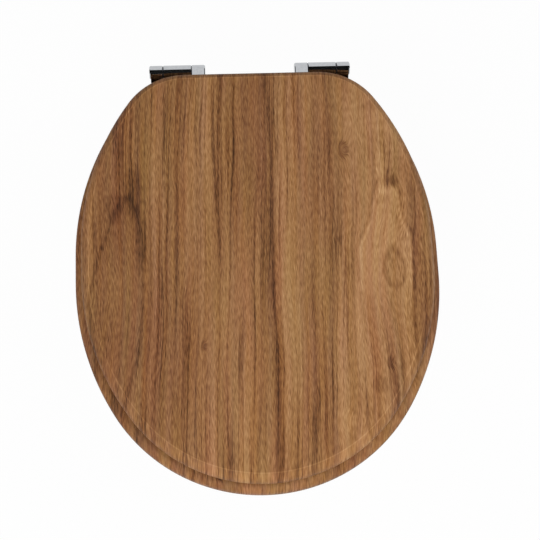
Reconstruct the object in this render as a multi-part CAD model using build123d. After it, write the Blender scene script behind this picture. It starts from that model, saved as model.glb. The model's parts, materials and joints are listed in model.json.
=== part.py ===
from build123d import *
import math
import os

# Toilet seat of wood-effect board: a lid over a ring, on two bright barrel hinges.
# Sizes are in millimetres and degrees.
# The origin is midway between the two fixing studs, on the top of the pan.
# +X is to the right of a person who faces the seat, +Y is to the rear and +Z is up.
# The hinge axis runs along X, straight above the studs.

# Fixing to the pan
fixing_spacing = 155.0
pan_thickness = 28.0

# Ring board: reach, belly and setback are measured forward from the hinge axis,
# and the flank arc turns this far, in degrees, before the nose arc takes over
ring_width = 375.0
ring_reach = 453.2
ring_belly = 231.6
ring_nose_turn = 31.2
ring_setback = 11.0
ring_thickness = 17.5
ring_top_round = 7.5

# Opening in the ring, given by the rim left round it
side_rim = 74.0
front_rim = 76.0
rear_rim = 92.0
opening_turn = 45.0
opening_top_round = 8.0

# Lid board, measured in the same way
lid_width = 360.6
lid_reach = 445.4
lid_belly = 227.5
lid_nose_turn = 36.5
lid_setback = 8.3
lid_thickness = 17.0
lid_top_round = 11.9
lid_top_planing = 0.6

# Shape behind the widest line and edges, which both boards share
flank_straight = 30.0
shoulder_radius = 274.0
corner_round = 73.0
under_chamfer = 2.0

# Buffers: angles are counted from the front of the rim, round its middle line
ring_buffer_height = 9.0
ring_buffer_length = 34.0
ring_buffer_width = 15.0
ring_buffer_front_angle = 40.0
ring_buffer_rear_angle = 126.0
lid_buffer_height = 4.5
lid_buffer_diameter = 17.0
lid_buffer_front_angle = 58.0
lid_buffer_rear_angle = 112.0
spigot_diameter = 6.0
spigot_length = 7.0
buffer_chamfer = 1.5

# Hinge barrels and knuckles
barrel_diameter = 14.4
barrel_length = 30.5
knuckle_length = 14.2
knuckle_gap = 0.35
barrel_chamfer = 0.9
running_clearance = 0.08

# Pillar under each barrel
pillar_diameter = 11.0
foot_diameter = 25.0
foot_edge = 2.5
foot_taper = 4.5
gasket_thickness = 1.5
gasket_bore = 10.6

# Rotary damper in each barrel, and the plain pin at its other end
damper_diameter = 10.0
damper_length = 22.0
shaft_diameter = 6.0
shaft_flats = 4.2
shaft_depth = 11.0
drive_depth = 9.0
pin_diameter = 5.0
pin_reach = 8.5
bore_web = 1.0
end_play = 0.4

# Lid bracket
lid_flange_thickness = 3.0
lid_flange_width = 36.0
lid_flange_length = 42.0
lid_butt_clearance = 0.4
lid_knuckle_end_round = 2.0
lid_screw_spacing = 22.0

# Ring bracket
strap_thickness = 5.0
strap_inset = 1.3
strap_clearance = 0.6
strap_shoulder = 5.2
ring_flange_thickness = 3.5
ring_flange_width = 24.0
ring_flange_length = 40.0
ring_screw_spacing = 18.0
flange_round = 5.0
bracket_edge = 0.6

# Countersunk bracket screws
screw_diameter = 4.0
screw_head_diameter = 7.6
screw_head_height = 2.0
screw_grip = 12.0

# Fixing studs and what clamps them under the pan
stud_thread_diameter = 8.0
stud_shank_diameter = 7.2
stud_thread_depth = 11.0
stud_length_below = 66.0
cone_top_diameter = 16.0
cone_base_diameter = 27.0
cone_height = 10.0
cone_clearance = 0.2
washer_diameter = 24.0
washer_thickness = 1.6
washer_clearance = 0.25
nut_hub_diameter = 16.0
nut_height = 12.0
nut_wing_span = 46.0
nut_wing_drop = 7.0
nut_wing_thickness = 3.6
nut_wing_round = 4.0
nut_edge = 0.8

# Levels that follow from the sizes above
ring_bottom = ring_buffer_height
ring_top = ring_bottom + ring_thickness
lid_bottom = ring_top + lid_buffer_height
axis_height = (ring_top + lid_bottom) / 2
foot_bottom = gasket_thickness
clamp_level = -pan_thickness
washer_level = clamp_level - cone_height
nut_level = washer_level - washer_thickness

# Places along the hinge axis on the right-hand side
stud_x = fixing_spacing / 2
barrel_inner = stud_x - barrel_length / 2
barrel_outer = stud_x + barrel_length / 2
lid_knuckle_outer = barrel_inner - knuckle_gap
lid_knuckle_inner = lid_knuckle_outer - knuckle_length
lid_knuckle_middle = (lid_knuckle_inner + lid_knuckle_outer) / 2
ring_knuckle_inner = barrel_outer + knuckle_gap
ring_knuckle_outer = ring_knuckle_inner + knuckle_length
barrel_radius = barrel_diameter / 2

# Places of the bracket screws
lid_screw_y = -(lid_setback + lid_flange_length / 2)
lid_screw_xs = [lid_knuckle_middle + step * lid_screw_spacing / 2 for step in (-1, 1)]
strap_front = ring_setback - strap_clearance
strap_back = strap_front - strap_thickness
strap_outer = ring_knuckle_outer - strap_inset
ring_flange_middle = strap_outer - ring_flange_width / 2
ring_flange_back = ring_setback + strap_clearance
ring_screw_middle = ring_flange_back + ring_flange_length / 2
ring_screw_ys = [-(ring_screw_middle + step * ring_screw_spacing / 2) for step in (-1, 1)]

# Rim of the ring: half widths and half lengths of its opening and of its middle line
opening_half = ring_width / 2 - side_rim
opening_nose = ring_reach - front_rim - ring_belly
opening_tail = ring_belly - ring_setback - rear_rim
middle_half = (ring_width / 2 + opening_half) / 2
middle_nose = ring_reach - ring_belly - front_rim / 2
middle_tail = opening_tail + rear_rim / 2


def half_oval(half_width, length, turn):
    """Right-hand side of a half oval that ends at -Y: a flank arc and a nose arc, tangent to each other."""
    across = math.cos(math.radians(turn))
    along = math.sin(math.radians(turn))
    spare = across + along - 1
    flank_radius = (length * across - half_width * (1 - along)) / spare
    nose_radius = (half_width * along - length * (1 - across)) / spare
    flank = CenterArc((half_width - flank_radius, 0), flank_radius, -turn, turn)
    nose = CenterArc((0, nose_radius - length), nose_radius, -90, 90 - turn)
    return flank + nose


def opening_outline():
    """Plan of the opening: two half ovals that meet on the ring's widest line."""
    right = half_oval(opening_half, opening_nose, opening_turn)
    right += mirror(half_oval(opening_half, opening_tail, opening_turn), about=Plane.XZ)
    return Pos(0, -ring_belly) * make_face(right + mirror(right, about=Plane.YZ))


def board_outline(width, reach, belly, nose_turn, setback):
    """Plan of a board: a half oval, straight flanks, shoulders and a straight rear edge."""
    half_width = width / 2
    rear = belly - setback
    shoulder_turn = math.degrees(math.asin((rear - flank_straight) / shoulder_radius))
    right = half_oval(half_width, reach - belly, nose_turn)
    right += Line((half_width, 0), (half_width, flank_straight))
    shoulder = CenterArc((half_width - shoulder_radius, flank_straight), shoulder_radius, 0, shoulder_turn)
    right += shoulder
    right += Line(shoulder @ 1, (0, rear))
    oval = make_face(right + mirror(right, about=Plane.YZ))
    corners = oval.vertices().group_by(Axis.Y)[-1].group_by(lambda corner: abs(corner.X))[-1]
    return Pos(0, -belly) * fillet(corners, corner_round)


def rounded_board(outline, bottom, thickness, top_round, planing=0):
    """Board cut from an outline, rounded over on top and eased underneath.

    Where the top is planed down after rounding, a faint crease shows where the round starts.
    """
    board = extrude(Pos(0, 0, bottom) * outline, thickness + planing)
    board = fillet(board.edges().group_by(Axis.Z)[-1], top_round)
    if planing:
        board = split(board, bisect_by=Plane.XY.offset(bottom + thickness), keep=Keep.BOTTOM)
    return chamfer(board.edges().group_by(Axis.Z)[0], under_chamfer)


def rim_place(angle):
    """Point on the middle line of the rim, at an angle counted from the front."""
    turn = math.radians(angle)
    length = middle_nose if math.cos(turn) > 0 else middle_tail
    return middle_half * math.sin(turn), -ring_belly - length * math.cos(turn)


def rim_heading(angle):
    """Direction of the rim's middle line there, in degrees from +X."""
    turn = math.radians(angle)
    length = middle_nose if math.cos(turn) > 0 else middle_tail
    return math.degrees(math.atan2(length * math.sin(turn), middle_half * math.cos(turn)))


def both_sides(angles):
    """Each angle on the right of the seat and on the left."""
    return [side * angle for angle in angles for side in (1, -1)]


ring_buffer_angles = both_sides((ring_buffer_front_angle, ring_buffer_rear_angle))
lid_buffer_angles = both_sides((lid_buffer_front_angle, lid_buffer_rear_angle))
ring_spigot_step = (ring_buffer_length - ring_buffer_width) / 2


def mirrored(shape):
    """The same piece on the left-hand side."""
    return mirror(shape, about=Plane.YZ)


def rod(radius, start, end):
    """Cylinder on the hinge axis between two places along X."""
    return Pos((start + end) / 2, 0, axis_height) * Rot(0, 90, 0) * Cylinder(radius, end - start)


def upright(radius, bottom, top):
    """Cylinder on Z between two levels."""
    return Pos(0, 0, (bottom + top) / 2) * Cylinder(radius, top - bottom)


def screw_body(seat):
    """Countersunk screw driven upwards, its head flush with the level of its seat."""
    head_top = seat + screw_head_height
    shank_top = seat + screw_head_height + screw_grip
    head = Pos(0, 0, (seat + head_top) / 2)
    head *= Cone(screw_head_diameter / 2, screw_diameter / 2, screw_head_height)
    return head + upright(screw_diameter / 2, head_top, shank_top)


def lid_screw_places():
    """Places of the lid bracket screws on both sides."""
    return [Pos(side * x, lid_screw_y) for x in lid_screw_xs for side in (1, -1)]


def ring_screw_places():
    """Places of the ring bracket screws on both sides."""
    return [Pos(side * ring_flange_middle, y) for y in ring_screw_ys for side in (1, -1)]


lid_screw_seat = lid_bottom - lid_flange_thickness
ring_screw_seat = ring_bottom - ring_flange_thickness


def lid_board():
    """Lid, drilled underneath for its buffers and bracket screws."""
    outline = board_outline(lid_width, lid_reach, lid_belly, lid_nose_turn, lid_setback)
    board = rounded_board(outline, lid_bottom, lid_thickness, lid_top_round, lid_top_planing)
    hole = upright(spigot_diameter / 2, lid_bottom, lid_bottom + spigot_length)
    for angle in lid_buffer_angles:
        board -= Pos(*rim_place(angle)) * hole
    for place in lid_screw_places():
        board -= place * screw_body(lid_screw_seat)
    return board


def ring_board():
    """Ring, with its rounded opening, drilled underneath for buffers and screws."""
    outline = board_outline(ring_width, ring_reach, ring_belly, ring_nose_turn, ring_setback)
    board = rounded_board(outline, ring_bottom, ring_thickness, ring_top_round)
    opening = opening_outline()
    board -= extrude(Pos(0, 0, ring_bottom) * opening, ring_thickness)
    reach = opening.bounding_box()
    slack = under_chamfer / 2

    def round_the_opening(edge):
        middle = edge @ 0.5
        inside_x = reach.min.X - slack < middle.X < reach.max.X + slack
        inside_y = reach.min.Y - slack < middle.Y < reach.max.Y + slack
        return inside_x and inside_y

    board = fillet(board.edges().filter_by(round_the_opening).group_by(Axis.Z)[-1], opening_top_round)
    board = chamfer(board.edges().filter_by(round_the_opening).group_by(Axis.Z)[0], under_chamfer)
    hole = upright(spigot_diameter / 2, ring_bottom, ring_bottom + spigot_length)
    for angle in ring_buffer_angles:
        place = Pos(*rim_place(angle)) * Rot(0, 0, rim_heading(angle))
        for step in (-ring_spigot_step, ring_spigot_step):
            board -= place * Pos(step, 0) * hole
    for place in ring_screw_places():
        board -= place * screw_body(ring_screw_seat)
    return board


def ring_buffers():
    """Long rubber buffers under the ring, each with two spigots."""
    pad = extrude(SlotOverall(ring_buffer_length, ring_buffer_width), ring_buffer_height)
    pad = chamfer(pad.edges().group_by(Axis.Z)[0], buffer_chamfer)
    for step in (-ring_spigot_step, ring_spigot_step):
        spigot = upright(spigot_diameter / 2, ring_buffer_height, ring_buffer_height + spigot_length)
        pad += Pos(step, 0) * spigot
    places = [Pos(*rim_place(angle)) * Rot(0, 0, rim_heading(angle)) for angle in ring_buffer_angles]
    return Compound([place * pad for place in places])


def lid_buffers():
    """Round rubber buffers under the lid, which rest on the ring."""
    pad = upright(lid_buffer_diameter / 2, ring_top, lid_bottom)
    pad = chamfer(pad.edges().group_by(Axis.Z)[0], buffer_chamfer)
    pad += upright(spigot_diameter / 2, lid_bottom, lid_bottom + spigot_length)
    return Compound([Pos(*rim_place(angle)) * pad for angle in lid_buffer_angles])


def hinge_body(damper_outside):
    """Cast barrel on a slim pillar with a tapered foot, bored for damper, pin and stud."""
    foot = foot_diameter / 2
    neck = pillar_diameter / 2
    foot_top = foot_bottom + foot_edge
    profile = Polygon(
        (0, foot_bottom),
        (foot, foot_bottom),
        (foot, foot_top),
        (neck, foot_top + foot_taper),
        (neck, axis_height),
        (0, axis_height),
        align=None,
    )
    pillar = Pos(stud_x) * revolve(Plane.XZ * profile, Axis.Z)
    barrel = rod(barrel_radius, barrel_inner, barrel_outer)
    body = pillar + chamfer(barrel.edges(), barrel_chamfer)
    if damper_outside:
        body -= rod(damper_diameter / 2, barrel_outer - damper_length, barrel_outer)
        body -= rod(pin_diameter / 2, barrel_inner, barrel_outer - damper_length - bore_web)
    else:
        body -= rod(damper_diameter / 2, barrel_inner, barrel_inner + damper_length)
        body -= rod(pin_diameter / 2, barrel_inner + damper_length + bore_web, barrel_outer)
    thread = upright(stud_thread_diameter / 2, foot_bottom, foot_bottom + stud_thread_depth)
    return body - Pos(stud_x) * thread


def base_gasket():
    """Soft disc between the foot and the pan, with room round the stud."""
    disc = upright(foot_diameter / 2, 0, gasket_thickness)
    return Pos(stud_x) * (disc - upright(gasket_bore / 2, 0, gasket_thickness))


def damper_body(damper_outside):
    """Damper cartridge that fills the barrel's bore, open for its shaft."""
    if damper_outside:
        mouth = barrel_outer
        inward = -1
    else:
        mouth = barrel_inner
        inward = 1
    back = mouth + inward * damper_length
    cartridge = rod(damper_diameter / 2, min(mouth, back), max(mouth, back))
    bottom = mouth + inward * (shaft_depth + end_play)
    socket = rod(shaft_diameter / 2 + running_clearance, min(mouth, bottom), max(mouth, bottom))
    return cartridge - socket


def drive_end(start, end):
    """Length of shaft with two flats, or the hole that it drives."""
    blade = Pos((start + end) / 2, 0, axis_height) * Box(end - start, shaft_diameter, shaft_flats)
    return rod(shaft_diameter / 2, start, end) & blade


def damper_shaft(damper_outside):
    """Shaft from the damper into the knuckle that it slows."""
    if damper_outside:
        inner_end = barrel_outer - shaft_depth
        return rod(shaft_diameter / 2, inner_end, barrel_outer) + drive_end(
            barrel_outer, ring_knuckle_inner + drive_depth
        )
    inner_end = barrel_inner + shaft_depth
    return rod(shaft_diameter / 2, barrel_inner, inner_end) + drive_end(
        lid_knuckle_outer - drive_depth, barrel_inner
    )


def hinge_pin(damper_outside):
    """Plain pin pressed into the barrel's closed end, on which the other knuckle turns."""
    if damper_outside:
        return rod(pin_diameter / 2, lid_knuckle_outer - pin_reach, barrel_outer - damper_length - bore_web)
    return rod(pin_diameter / 2, barrel_inner + damper_length + bore_web, ring_knuckle_inner + pin_reach)


def lid_bracket(damper_outside):
    """Flat-topped knuckle that meets the lid's rear edge, on a flange under the lid."""
    butt = lid_setback - lid_butt_clearance
    flange_top = lid_bottom - axis_height
    flange_low = flange_top - lid_flange_thickness
    section = Circle(barrel_radius)
    section += Pos(-butt / 2, barrel_radius / 2) * Rectangle(butt, barrel_radius)
    neck_length = lid_setback + flange_round
    neck = Rectangle(neck_length, lid_flange_thickness)
    section += Pos(-neck_length / 2, (flange_top + flange_low) / 2) * neck
    knuckle = extrude(Plane.YZ * section, knuckle_length)
    knuckle = Pos(lid_knuckle_inner, 0, axis_height) * knuckle
    inner_end = knuckle.faces().sort_by(Axis.X)[0].edges()
    crown = inner_end.filter_by(GeomType.CIRCLE) + inner_end.sort_by(Axis.Z)[-1:]
    knuckle = fillet(crown, lid_knuckle_end_round)
    flange = RectangleRounded(lid_flange_width, lid_flange_length, flange_round)
    flange = extrude(Pos(lid_knuckle_middle, lid_screw_y, lid_screw_seat) * flange, lid_flange_thickness)
    bracket = knuckle + flange
    for x in lid_screw_xs:
        bracket -= Pos(x, lid_screw_y) * screw_body(lid_screw_seat)
    if damper_outside:
        hole_end = lid_knuckle_outer - pin_reach - end_play
        return bracket - rod(pin_diameter / 2 + running_clearance, hole_end, lid_knuckle_outer)
    return bracket - drive_end(lid_knuckle_outer - drive_depth, lid_knuckle_outer)


def ring_bracket(damper_outside):
    """Round knuckle with a strap down behind the ring to a flange under it."""
    knuckle = rod(barrel_radius, ring_knuckle_inner, ring_knuckle_outer)
    knuckle = chamfer(knuckle.edges(), barrel_chamfer)
    strap_foot = ring_screw_seat - axis_height
    shoulder_top = math.sqrt(barrel_radius**2 - (barrel_radius - strap_shoulder / 2) ** 2)
    outline = Polygon(
        (0, 0),
        (-barrel_radius + strap_shoulder / 2, shoulder_top),
        (-strap_front, -strap_shoulder / 2),
        (-strap_front, strap_foot),
        (-strap_back, strap_foot),
        (-strap_back, -barrel_radius),
        (0, -barrel_radius + bracket_edge),
        align=None,
    )
    strap_width = knuckle_length - 2 * strap_inset
    strap = extrude(Plane.YZ * outline, strap_width)
    strap = Pos(strap_outer - strap_width, 0, axis_height) * strap
    plate = RectangleRounded(ring_flange_width, ring_flange_length, flange_round)
    plate_place = Pos(ring_flange_middle, -ring_screw_middle, ring_screw_seat)
    plate = extrude(plate_place * plate, ring_flange_thickness)
    neck_length = ring_flange_back + flange_round - strap_back
    neck_place = Pos(strap_outer - strap_width / 2, -strap_back - neck_length / 2)
    neck_place *= Pos(0, 0, ring_screw_seat + ring_flange_thickness / 2)
    neck = neck_place * Box(strap_width, neck_length, ring_flange_thickness)
    bracket = knuckle + strap + plate + neck
    for y in ring_screw_ys:
        bracket -= Pos(ring_flange_middle, y) * screw_body(ring_screw_seat)
    if damper_outside:
        return bracket - drive_end(ring_knuckle_inner, ring_knuckle_inner + drive_depth)
    hole_end = ring_knuckle_inner + pin_reach + end_play
    return bracket - rod(pin_diameter / 2 + running_clearance, ring_knuckle_inner, hole_end)


def fixing_stud():
    """Stud with a reduced shank where it passes the pan, threaded at both ends."""
    thread = stud_thread_diameter / 2
    stud = upright(thread, foot_bottom, foot_bottom + stud_thread_depth)
    stud += upright(stud_shank_diameter / 2, clamp_level, foot_bottom)
    stud += upright(thread, -stud_length_below, clamp_level)
    return Pos(stud_x) * stud


def cone_washer():
    """Tapered rubber washer that centres the stud in the pan's hole."""
    cone = Pos(0, 0, clamp_level - cone_height / 2)
    cone *= Cone(cone_base_diameter / 2, cone_top_diameter / 2, cone_height)
    hole = upright(stud_thread_diameter / 2 + cone_clearance, washer_level, clamp_level)
    return Pos(stud_x) * (cone - hole)


def flat_washer():
    """Flat washer between the rubber cone and the wing nut."""
    disc = upright(washer_diameter / 2, nut_level, washer_level)
    hole = upright(stud_thread_diameter / 2 + washer_clearance, nut_level, washer_level)
    return Pos(stud_x) * (disc - hole)


def wing_nut():
    """Moulded wing nut, turned by two drooping wings."""
    hub = upright(nut_hub_diameter / 2, nut_level - nut_height, nut_level)
    tip = nut_wing_span / 2
    low = nut_level - nut_height - nut_wing_drop
    wings = Polygon(
        (0, nut_level - nut_edge),
        (tip, nut_level - nut_height / 2),
        (tip, low),
        (nut_hub_diameter / 2, nut_level - nut_height + nut_edge),
        (0, nut_level - nut_height + nut_edge),
        align=None,
    )
    outer = wings.vertices().group_by(Axis.X)[-1]
    wings = fillet(outer, nut_wing_round)
    wings += mirror(wings, about=Plane.YZ)
    plate = extrude(Plane.XZ * wings, nut_wing_thickness / 2, both=True)
    nut = hub + plate
    nut -= upright(stud_thread_diameter / 2, nut_level - nut_height - nut_wing_drop, nut_level)
    return Pos(stud_x) * nut


def pair(piece):
    """The same piece on both sides, as one group."""
    return Compound([piece, mirrored(piece)])


def side_pieces(damper_outside):
    """The pieces of the right-hand hinge that differ from side to side, by name."""
    return {
        "hinge_body": hinge_body(damper_outside),
        "lid_bracket": lid_bracket(damper_outside),
        "ring_bracket": ring_bracket(damper_outside),
        "damper_body": damper_body(damper_outside),
        "damper_shaft": damper_shaft(damper_outside),
        "hinge_pin": hinge_pin(damper_outside),
    }


# The right-hand damper slows the ring, the left-hand one slows the lid
nodes = {
    "lid": lid_board(),
    "seat_ring": ring_board(),
    "lid_buffers": lid_buffers(),
    "ring_buffers": ring_buffers(),
    "lid_bracket_screws": Compound([place * screw_body(lid_screw_seat) for place in lid_screw_places()]),
    "ring_bracket_screws": Compound([place * screw_body(ring_screw_seat) for place in ring_screw_places()]),
    "base_gaskets": pair(base_gasket()),
    "fixing_studs": pair(fixing_stud()),
    "cone_washers": pair(cone_washer()),
    "flat_washers": pair(flat_washer()),
    "wing_nuts": pair(wing_nut()),
}
for name, piece in side_pieces(damper_outside=True).items():
    nodes[name + "_right"] = piece
for name, piece in side_pieces(damper_outside=False).items():
    nodes[name + "_left"] = mirrored(piece)

os.makedirs("parts", exist_ok=True)
for name, piece in nodes.items():
    export_step(piece, "parts/" + name + ".step")
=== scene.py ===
"""Looks of a wood-effect toilet seat on bright barrel hinges.

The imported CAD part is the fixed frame. Lid, ring, hinges, buffers and fixings are modelled or
dressed on it, in metres, and the studio frames them as the photograph does.
"""

import json
import logging
import math
from dataclasses import dataclass
from enum import Enum

import bmesh
import bpy
from bmesh.types import BMEdge, BMFace, BMVert
from mathutils import Matrix, Vector


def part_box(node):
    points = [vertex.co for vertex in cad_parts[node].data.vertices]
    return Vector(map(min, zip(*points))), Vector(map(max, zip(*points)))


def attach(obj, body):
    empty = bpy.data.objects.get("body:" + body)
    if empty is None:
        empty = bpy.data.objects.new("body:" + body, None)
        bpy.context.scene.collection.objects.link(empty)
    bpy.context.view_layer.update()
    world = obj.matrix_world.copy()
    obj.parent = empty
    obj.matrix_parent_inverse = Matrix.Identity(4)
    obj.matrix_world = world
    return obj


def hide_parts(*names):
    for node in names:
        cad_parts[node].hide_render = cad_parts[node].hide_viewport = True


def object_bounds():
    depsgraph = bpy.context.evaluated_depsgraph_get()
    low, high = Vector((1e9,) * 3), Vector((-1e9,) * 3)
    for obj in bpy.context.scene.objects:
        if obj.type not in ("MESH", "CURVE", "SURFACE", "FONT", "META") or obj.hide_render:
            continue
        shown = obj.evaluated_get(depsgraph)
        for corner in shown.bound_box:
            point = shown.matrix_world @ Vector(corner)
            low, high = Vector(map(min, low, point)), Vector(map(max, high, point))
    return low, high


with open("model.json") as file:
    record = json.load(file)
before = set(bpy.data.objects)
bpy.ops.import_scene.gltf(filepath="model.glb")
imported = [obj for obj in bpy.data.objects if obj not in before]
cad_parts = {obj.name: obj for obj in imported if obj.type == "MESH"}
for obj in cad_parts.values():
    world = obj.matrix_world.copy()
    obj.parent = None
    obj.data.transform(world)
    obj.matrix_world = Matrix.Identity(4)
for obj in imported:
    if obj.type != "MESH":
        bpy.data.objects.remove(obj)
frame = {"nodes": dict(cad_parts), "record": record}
CAD_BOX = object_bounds()

LOG = logging.getLogger("toilet_seat")
MM = 0.001

# Middle of both boards along the seat, in millimetres
BOARD_MIDDLE = -230.0

# Mesh attribute that marks the line along the crease where a highlight is painted into the foil's colour
CREASE_HIGHLIGHT = "crease_highlight"

# Distances within which points count as one, or as lying on a cut
WELD = 0.001 * MM
HAIR = 0.0001 * MM

# Upward part of a level face's normal, and the angle in radians from which an edge looks sharp
LEVEL_NORMAL = 0.9999
SHARP_ANGLE = 0.4

Mesh = bmesh.types.BMesh
Material = bpy.types.Material
Socket = bpy.types.NodeSocket
Point = tuple[float, float]
Place = tuple[float, float, float]
Colour = tuple[float, float, float, float]


class Body(Enum):
    """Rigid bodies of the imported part."""

    HINGES = "fixed_hinges"
    RING = "ring"
    LID = "lid"


class Slot(Enum):
    """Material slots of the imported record."""

    WOOD = "wood_board"
    CHROME = "bright_chrome"
    STEEL = "plated_steel"
    BUFFER = "buffer_rubber"
    RUBBER = "dark_rubber"
    NYLON = "white_nylon"
    DAMPER = "damper_plastic"


def linear(red: int, green: int, blue: int) -> Colour:
    """Turn a colour as seen on a screen into the shader's linear colour.

    Args:
        red: Red, from 0 to 255.
        green: Green, from 0 to 255.
        blue: Blue, from 0 to 255.

    Returns:
        Linear red, green and blue, and an alpha of 1.
    """

    def channel(value: int) -> float:
        """Take the screen's curve off one channel.

        Args:
            value: The channel, from 0 to 255.

        Returns:
            The linear channel, from 0 to 1.
        """
        share = value / 255
        if share <= 0.04045:
            return share / 12.92
        return ((share + 0.055) / 1.055) ** 2.4

    return channel(red), channel(green), channel(blue), 1.0


@dataclass(frozen=True)
class Grain:
    """Noise drawn out along the grain, in millimetres.

    Attributes:
        across: Size of its streaks across the grain.
        along: Size of its streaks along the grain.
        strength: How far it goes up and down.
        detail: Finer octaves in it.
        layer: Which slice of the noise it shows.
        roughness: Strength of each octave against the one before.
    """

    across: float
    along: float
    strength: float
    detail: float
    layer: float
    roughness: float = 0.6


class Tree:
    """Nodes of one material or world."""

    def __init__(self, owner: Material | bpy.types.World) -> None:
        """Start with no nodes.

        Args:
            owner: The material or world.
        """
        owner.use_nodes = True
        self.nodes = owner.node_tree.nodes
        self.links = owner.node_tree.links
        self.nodes.clear()

    def feed(self, socket: Socket, value: object) -> None:
        """Link a socket to another one, or set it to a plain value.

        Args:
            socket: The input to fill.
            value: An output socket, number, colour or vector.
        """
        if isinstance(value, Socket):
            self.links.new(value, socket)
        else:
            socket.default_value = value

    def add(self, kind: str, inputs: dict[int | str, object], **settings: str) -> bpy.types.Node:
        """Add a node.

        Args:
            kind: Its type, without the words that all shader nodes share.
            inputs: What its inputs get, by their number or name.
            settings: Its choices, such as operation.

        Returns:
            The node.
        """
        node = self.nodes.new("ShaderNode" + kind)
        for name, setting in settings.items():
            setattr(node, name, setting)
        for key, value in inputs.items():
            self.feed(node.inputs[key], value)
        return node

    def math(self, operation: str, *values: object) -> Socket:
        """Result of a Math node."""
        return self.add("Math", dict(enumerate(values)), operation=operation).outputs[0]

    def seen(self) -> Socket:
        """Tell what the camera sees, straight or by way of metal or glass.

        Returns:
            1 for what is seen and 0 for what only gets light from it.
        """
        path = self.add("LightPath", {}).outputs
        reflected = self.math("MAXIMUM", path["Is Camera Ray"], path["Is Glossy Ray"])
        return self.math("MAXIMUM", reflected, path["Is Transmission Ray"])


class Shader(Tree):
    """Nodes of one finish, with short calls for what the finishes share."""

    def __init__(self, name: str) -> None:
        """Start a material with a plain surface.

        Args:
            name: The material's name.
        """
        self.material = bpy.data.materials.new(name)
        super().__init__(self.material)
        self.surface = self.add("BsdfPrincipled", {})
        self.add("OutputMaterial", {"Surface": self.surface.outputs["BSDF"]})

    def set(self, name: str, value: object) -> None:
        """Fill an input of the surface by its name."""
        self.feed(self.surface.inputs[name], value)

    def total(self, *values: object) -> Socket:
        """Add up several values.

        Args:
            values: Sockets or numbers, one at least.

        Returns:
            Their sum.
        """
        result = values[0]
        for value in values[1:]:
            result = self.math("ADD", result, value)
        return result

    def blend(self, value: object, scale: object, offset: object) -> Socket:
        """A value times a scale, plus an offset."""
        return self.math("MULTIPLY_ADD", value, scale, offset)

    def place(self) -> tuple[Socket, ...]:
        """Add the Object coordinates, in millimetres.

        Returns:
            One socket for each axis.
        """
        coordinates = self.add("TexCoord", {}).outputs["Object"]
        scaled = self.add("VectorMath", {0: coordinates, "Scale": 1 / MM}, operation="SCALE")
        return tuple(self.add("SeparateXYZ", {0: scaled.outputs["Vector"]}).outputs)

    def noise(self, x: object, y: object, z: object, detail: float, roughness: float) -> Socket:
        """Add a noise of unit scale that is centred on zero.

        Args:
            x: Where it is read, along its first axis.
            y: Where it is read, along its second axis.
            z: Where it is read, along its third axis.
            detail: Octaves beyond the first.
            roughness: Strength of each octave against the one before.

        Returns:
            The noise, between about -0.5 and 0.5.
        """
        where = self.add("CombineXYZ", {0: x, 1: y, 2: z}).outputs[0]
        fineness = {"Scale": 1.0, "Detail": detail, "Roughness": roughness}
        return self.math("SUBTRACT", self.add("TexNoise", {"Vector": where, **fineness}).outputs[0], 0.5)

    def cloud(self, size: float, detail: float, roughness: float) -> Socket:
        """Noise that is alike in every direction, at a size in millimetres."""
        axes = (self.math("DIVIDE", axis, size) for axis in self.place())
        return self.noise(*axes, detail, roughness)

    def grain(self, across: object, along: object, grain: Grain, offset: float = 0.0) -> Socket:
        """Add noise that is drawn out along the grain.

        Args:
            across: Coordinate across the grain.
            along: Coordinate along the grain.
            grain: Its size and strength.
            offset: What it varies about.

        Returns:
            The noise, times its strength, plus the offset.
        """
        places = self.math("DIVIDE", across, grain.across), self.math("DIVIDE", along, grain.along)
        noise = self.noise(*places, grain.layer, grain.detail, grain.roughness)
        return self.blend(noise, grain.strength, offset)

    def hump(self, distance: object, width: float) -> Socket:
        """Bell curve of a distance, 1 in the middle and falling off over a width."""
        share = self.math("DIVIDE", distance, width)
        return self.math("POWER", 1 / math.e, self.math("MULTIPLY", share, share))

    def length(self, across: object, along: object, power: float) -> Socket:
        """Distance from two legs, whose level lines are ovals with square or sharp ends.

        Args:
            across: The first leg.
            along: The second leg.
            power: 2 for plain ovals, more for square ones, less for pointed ones.

        Returns:
            The distance.
        """
        legs = [self.math("POWER", self.math("ABSOLUTE", leg), power) for leg in (across, along)]
        return self.math("POWER", self.total(*legs), 1 / power)

    def step(self, value: object, low: float, high: float) -> Socket:
        """Soft step of a value.

        Args:
            value: What is stepped.
            low: Where the step is 0.
            high: Where the step is 1, which may be below low.

        Returns:
            The step, from 0 to 1.
        """
        span = {"From Min": min(low, high), "From Max": max(low, high)}
        ends = {"To Min": float(low > high), "To Max": float(high > low)}
        node = self.add("MapRange", {"Value": value, **span, **ends}, interpolation_type="SMOOTHSTEP")
        return node.outputs["Result"]

    def ramp(self, value: object, stops: tuple[tuple[float, Colour], ...]) -> Socket:
        """Add a colour ramp.

        Args:
            value: Where on the ramp to read.
            stops: Positions with their linear colours, from low to high.

        Returns:
            The colour.
        """
        node = self.add("ValToRGB", {0: value})
        elements = node.color_ramp.elements
        while len(elements) < len(stops):
            elements.new(1.0)
        for element, (position, colour) in zip(elements, stops):
            element.position = position
            element.color = colour
        return node.outputs[0]

    def bump(self, height: object, strength: float, distance: float) -> None:
        """Raise the surface by a height.

        Args:
            height: The height, as a share of the distance.
            strength: How much of it shows.
            distance: Full height in metres.
        """
        relief = {"Strength": strength, "Distance": distance, "Height": height}
        self.set("Normal", self.add("Bump", relief).outputs[0])


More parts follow.
